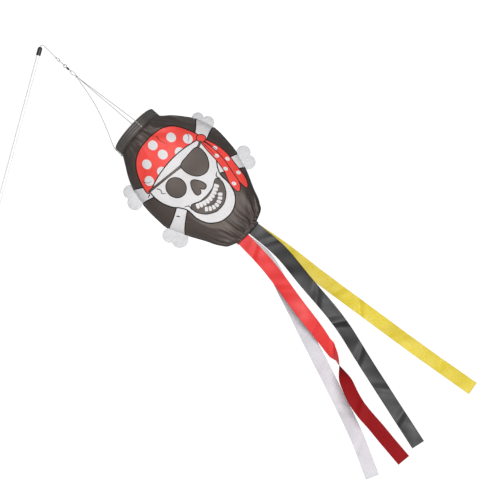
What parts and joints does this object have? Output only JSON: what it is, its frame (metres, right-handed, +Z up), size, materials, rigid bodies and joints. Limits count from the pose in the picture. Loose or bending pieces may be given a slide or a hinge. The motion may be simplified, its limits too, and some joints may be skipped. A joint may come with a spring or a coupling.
{
  "type": "windsock with pole",
  "caption": "Garden windsock: flat tapered fabric sock with printed front, hoop mouth and ribbon streamers, flown by bridle, swivel and line from a thin pole.",
  "frame": {"origin": "centre of the pole's flat lower end", "axes": "+Z up along the pole; +X the way the sock flies; -Y the way its printed front faces"},
  "size_m": [0.9401, 0.1044, 1.2111],
  "materials": {
    "fibreglass": "white glass-fibre rod, smooth and slightly translucent",
    "sleeve_steel": "thin drawn tube, satin",
    "cap_rubber": "black moulded cap, semi-gloss",
    "cord_white": "white braided polyester cord",
    "snap_metal": "dark nickel-plated wire and barrel",
    "nylon_black": "printed black nylon, slight sheen",
    "band_black": "fine ribbed black band",
    "hoop_plastic": "flat plastic hoop strip",
    "bone_fabric": "thin white translucent fabric",
    "ribbon_red": "red nylon ribbon",
    "ribbon_black": "black nylon ribbon",
    "ribbon_white": "white nylon ribbon",
    "ribbon_yellow": "yellow nylon ribbon"
  },
  "bodies": {
    "pole": {"pole_lower": "fibreglass", "pole_upper": "fibreglass", "pole_sleeve": "sleeve_steel", "pole_cap": "cap_rubber"},
    "line_stop": {"line_stop_knot": "cord_white"},
    "line": {"pole_line": "cord_white", "pole_line_knot": "cord_white", "pole_line_loop": "cord_white"},
    "snap": {"snap_frame": "snap_metal", "swivel_ring": "snap_metal", "swivel_barrel": "snap_metal"},
    "gate": {"snap_gate": "snap_metal"},
    "eye": {"swivel_eye": "snap_metal"},
    "sock": {"bridle_loop": "cord_white", "bridle_knot": "cord_white", "bridle_front": "cord_white", "bridle_back": "cord_white", "bridle_side": "cord_white", "bridle_knot_front": "cord_white", "bridle_knot_back": "cord_white", "bridle_knot_side": "cord_white", "mouth_band": "band_black", "mouth_hoop": "hoop_plastic", "sock_front": "nylon_black", "sock_back": "nylon_black", "tail_hem": "nylon_black", "bone_end_upper_mouth": "bone_fabric", "bone_end_upper_tail": "bone_fabric", "bone_end_lower_mouth": "bone_fabric", "bone_end_lower_tail": "bone_fabric"},
    "red": {"streamer_red": "ribbon_red"},
    "black": {"streamer_black": "ribbon_black"},
    "white": {"streamer_white": "ribbon_white"},
    "yellow": {"streamer_yellow": "ribbon_yellow"}
  },
  "joints": [
    {"name": "cap_turn", "type": "hinge", "parent": "pole", "child": "line_stop", "pos_m": [0, 0, 1.2065], "axis": [0, 0, 1], "continuous": true},
    {"name": "line_droop", "type": "hinge", "parent": "line_stop", "child": "line", "pos_m": [0, 0, 1.2065], "axis": [0, 1, 0], "range_deg": [-35, 38]},
    {"name": "snap_swing", "type": "hinge", "parent": "line", "child": "snap", "pos_m": [0.04137, 0, 1.18951], "axis": [0.4695, 0, 0.8829], "range_deg": [-35, 35]},
    {"name": "snap_gate", "type": "hinge", "parent": "snap", "child": "gate", "pos_m": [0.04997, 0.0024, 1.18493], "axis": [0.4695, 0, 0.8829], "range_deg": [0, 25], "stiffness_Nm_per_rad": 0.002},
    {"name": "swivel_spin", "type": "hinge", "parent": "snap", "child": "eye", "pos_m": [0.0634, 0, 1.17779], "axis": [0.8829, 0, -0.4695], "continuous": true},
    {"name": "bridle_swing", "type": "hinge", "parent": "eye", "child": "sock", "pos_m": [0.06635, 0, 1.17622], "axis": [0.4695, 0, 0.8829], "range_deg": [-35, 35]},
    {"name": "red_flap", "type": "hinge", "parent": "sock", "child": "red", "pos_m": [0.46496, -0.0062, 0.96428], "axis": [0.4695, 0, 0.8829], "range_deg": [-35, 0]},
    {"name": "black_flap", "type": "hinge", "parent": "sock", "child": "black", "pos_m": [0.46496, -0.0062, 0.96428], "axis": [0.4695, 0, 0.8829], "range_deg": [-35, 0]},
    {"name": "white_flap", "type": "hinge", "parent": "sock", "child": "white", "pos_m": [0.46496, 0.0062, 0.96428], "axis": [0.4695, 0, 0.8829], "range_deg": [0, 35]},
    {"name": "yellow_flap", "type": "hinge", "parent": "sock", "child": "yellow", "pos_m": [0.46496, 0.0062, 0.96428], "axis": [0.4695, 0, 0.8829], "range_deg": [0, 35]}
  ]
}
